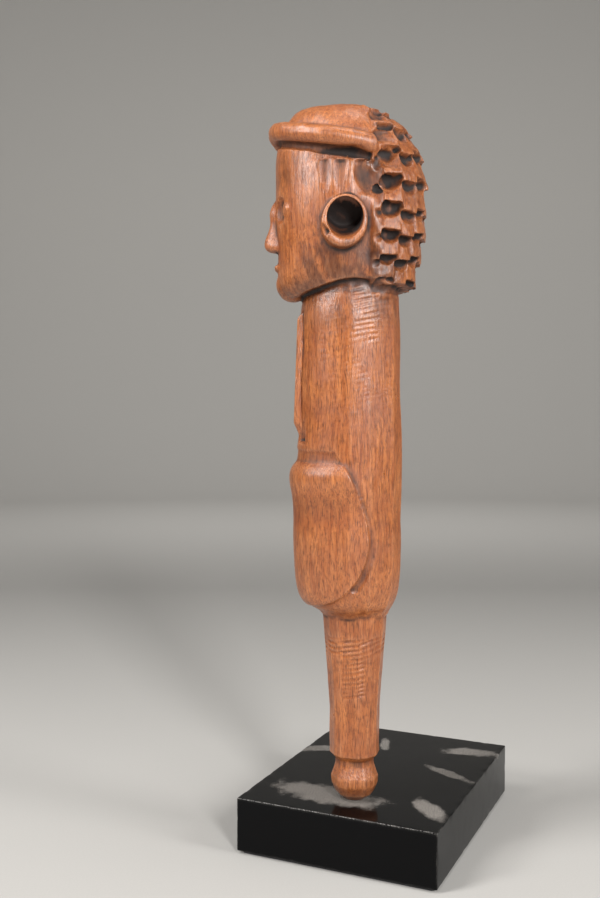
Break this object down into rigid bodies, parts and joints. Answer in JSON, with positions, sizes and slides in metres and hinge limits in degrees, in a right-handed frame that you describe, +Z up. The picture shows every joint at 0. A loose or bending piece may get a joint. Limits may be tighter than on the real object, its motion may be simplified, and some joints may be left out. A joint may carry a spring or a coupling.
{
  "type": "carved ancestor figure",
  "caption": "Carved wooden ancestor figure with rolled headband, notched hair and ring ears, standing on a pin in a black base block.",
  "frame": {"origin": "centre of the flat underside of the felt, which the object stands on", "axes": "+Z up; X along the block's long side, with the figure near its +X end; Y along its short side"},
  "size_m": [0.148, 0.103, 0.365],
  "materials": {
    "carved_wood": "oiled and rubbed reddish hardwood, satin",
    "steel": "drawn bright rod",
    "black_lacquer": "black gloss lacquer over wood",
    "felt": "pressed wool felt"
  },
  "bodies": {
    "base": {"base_block": "black_lacquer", "base_felt": "felt"},
    "pin": {"mounting_pin": "steel"},
    "figure": {"carved_figure": "carved_wood"}
  },
  "joints": [
    {"name": "figure_turn", "type": "hinge", "parent": "base", "child": "pin", "pos_m": [0.0417, 0.0013, 0.028], "axis": [0, 0, 1], "continuous": true},
    {"name": "figure_lift", "type": "slide", "parent": "pin", "child": "figure", "axis": [0, 0, 1], "range_m": [0, 0.035]}
  ]
}
